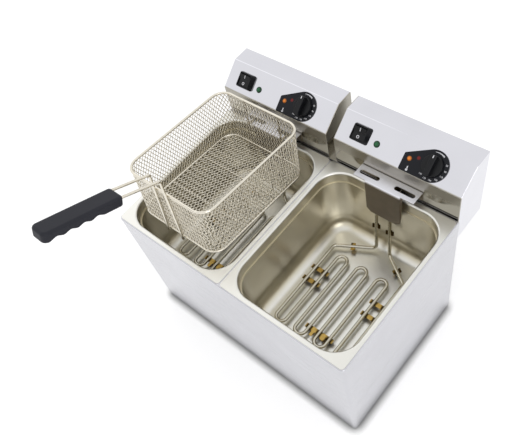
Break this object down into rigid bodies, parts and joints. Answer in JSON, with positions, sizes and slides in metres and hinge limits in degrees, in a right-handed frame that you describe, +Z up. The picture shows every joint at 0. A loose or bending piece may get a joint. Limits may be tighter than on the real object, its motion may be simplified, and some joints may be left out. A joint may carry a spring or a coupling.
{
  "type": "twin-tank deep fryer",
  "caption": "Countertop electric deep fryer: steel casing with side-by-side drawn tanks, lift-off control heads with heating elements, and a wire basket hung up to drain.",
  "frame": {"origin": "middle of the casing's footprint, on the table under the feet", "axes": "+X to the right seen from the front, +Y to the back, +Z up"},
  "size_m": [0.536, 0.5883, 0.5628],
  "materials": {
    "casing_steel": "satin",
    "tank_steel": "satin",
    "head_steel": "polished",
    "screw_steel": "plain",
    "element_steel": "polished",
    "basket_wire": "nickel plated",
    "brass": "plain",
    "grip_plastic": "moulded",
    "black_plastic": "moulded",
    "black_plate": "smooth",
    "green_lens": "clear",
    "amber_lens": "clear",
    "inner_plastic": "moulded",
    "foot_rubber": "matt"
  },
  "bodies": {
    "base": {"casing_wrap": "casing_steel", "casing_rear": "casing_steel", "casing_screws": "screw_steel", "rear_rail": "casing_steel", "base_plate": "casing_steel", "feet": "foot_rubber", "centre_bar": "casing_steel", "head_brackets": "casing_steel", "tank_left": "tank_steel", "tank_right": "tank_steel"},
    "head_left": {"head_shell_left": "head_steel", "head_cover_left": "head_steel", "head_screws_left": "screw_steel", "basket_hanger_left": "head_steel", "heating_element_left": "element_steel", "element_nuts_left": "brass", "element_clips_left": "brass", "sensor_bulbs_left": "element_steel", "dial_plate_left": "black_plate", "thermostat_left": "inner_plastic", "power_lamp_left": "green_lens", "heat_lamp_left": "amber_lens", "switch_body_left": "black_plastic", "terminal_block_left": "inner_plastic", "limiter_left": "inner_plastic", "cable_gland_left": "black_plastic"},
    "knob_left": {"knob_left": "black_plastic", "thermostat_shaft_left": "element_steel"},
    "rocker_left": {"rocker_left": "black_plastic"},
    "head_right": {"head_shell_right": "head_steel", "head_cover_right": "head_steel", "head_screws_right": "screw_steel", "basket_hanger_right": "head_steel", "heating_element_right": "element_steel", "element_nuts_right": "brass", "element_clips_right": "brass", "sensor_bulbs_right": "element_steel", "dial_plate_right": "black_plate", "thermostat_right": "inner_plastic", "power_lamp_right": "green_lens", "heat_lamp_right": "amber_lens", "switch_body_right": "black_plastic", "terminal_block_right": "inner_plastic", "limiter_right": "inner_plastic", "cable_gland_right": "black_plastic"},
    "knob_right": {"knob_right": "black_plastic", "thermostat_shaft_right": "element_steel"},
    "rocker_right": {"rocker_right": "black_plastic"},
    "basket": {"basket_rim": "basket_wire", "basket_bottom_frame": "basket_wire", "basket_net_front": "basket_wire", "basket_net_rear": "basket_wire", "basket_net_left": "basket_wire", "basket_net_right": "basket_wire", "basket_net_floor": "basket_wire", "basket_net_corners": "basket_wire", "basket_cross_wires": "basket_wire", "basket_hooks": "basket_wire", "handle_wires": "basket_wire", "handle_grip": "grip_plastic"}
  },
  "joints": [
    {"name": "head_left_lift", "type": "slide", "parent": "base", "child": "head_left", "axis": [0, 0, 1], "range_m": [0, 0.17]},
    {"name": "knob_left_turn", "type": "hinge", "parent": "head_left", "child": "knob_left", "pos_m": [-0.07525, 0.18961, 0.38869], "axis": [0, 0.6163, -0.7875], "range_deg": [0, 270]},
    {"name": "rocker_left_press", "type": "hinge", "parent": "head_left", "child": "rocker_left", "pos_m": [-0.21805, 0.18559, 0.39253], "axis": [-1, 0, 0], "range_deg": [0, 18]},
    {"name": "head_right_lift", "type": "slide", "parent": "base", "child": "head_right", "axis": [0, 0, 1], "range_m": [0, 0.17]},
    {"name": "knob_right_turn", "type": "hinge", "parent": "head_right", "child": "knob_right", "pos_m": [0.19825, 0.18961, 0.38869], "axis": [0, 0.6163, -0.7875], "range_deg": [0, 270]},
    {"name": "rocker_right_press", "type": "hinge", "parent": "head_right", "child": "rocker_right", "pos_m": [0.05545, 0.18559, 0.39253], "axis": [-1, 0, 0], "range_deg": [0, 18]},
    {"name": "basket_lift", "type": "slide", "parent": "head_left", "child": "basket", "axis": [0, 0, 1], "range_m": [0, 0.12]}
  ]
}
